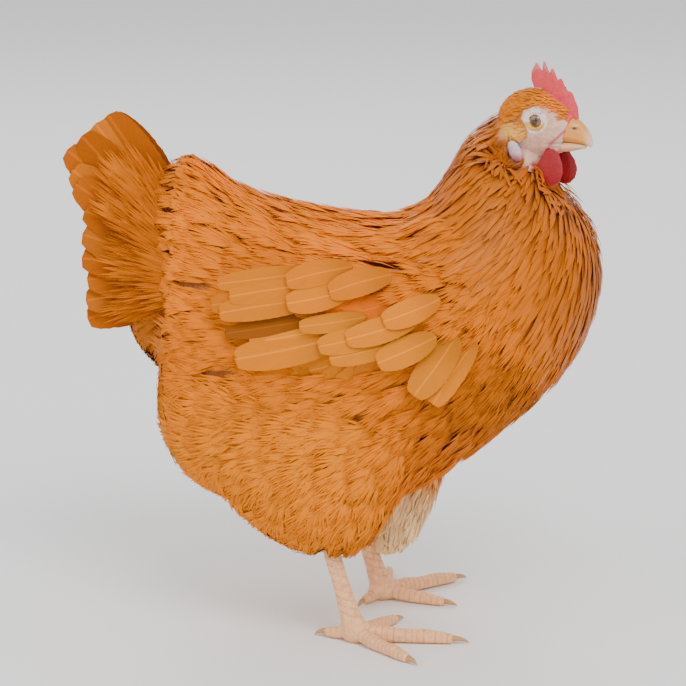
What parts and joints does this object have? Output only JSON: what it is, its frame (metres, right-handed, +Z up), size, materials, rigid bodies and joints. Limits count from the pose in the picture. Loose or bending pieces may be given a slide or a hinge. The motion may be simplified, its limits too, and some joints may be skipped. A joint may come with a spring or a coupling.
{
  "type": "standing buff hen",
  "caption": "Still, life-size buff hen of a heavy breed, standing, with its head turned to its right.",
  "frame": {"origin": "on the floor under the middle of the hen's box", "axes": "+X is the way the body faces, +Y its left side, +Z up"},
  "size_m": [0.3712, 0.2192, 0.401],
  "materials": {
    "plumage": "satin",
    "down": "matte",
    "face": "satin",
    "comb": "satin",
    "wattle": "satin",
    "horn": "satin",
    "leg": "satin",
    "eye": "gloss"
  },
  "bodies": {
    "root": {"head": "face", "beak_upper": "horn", "beak_lower": "horn", "comb": "comb", "wattle_left": "wattle", "wattle_right": "wattle", "earlobe_left": "comb", "earlobe_right": "comb", "eye_left": "eye", "eye_right": "eye", "neck": "plumage", "trunk": "plumage", "tail": "plumage", "wing_left": "plumage", "wing_right": "plumage", "thigh_left": "down", "thigh_right": "down", "shank_left": "leg", "shank_right": "leg", "foot_left": "leg", "foot_right": "leg", "claw_hind_left": "horn", "claw_inner_left": "horn", "claw_middle_left": "horn", "claw_outer_left": "horn", "claw_hind_right": "horn", "claw_inner_right": "horn", "claw_middle_right": "horn", "claw_outer_right": "horn"}
  },
  "joints": []
}
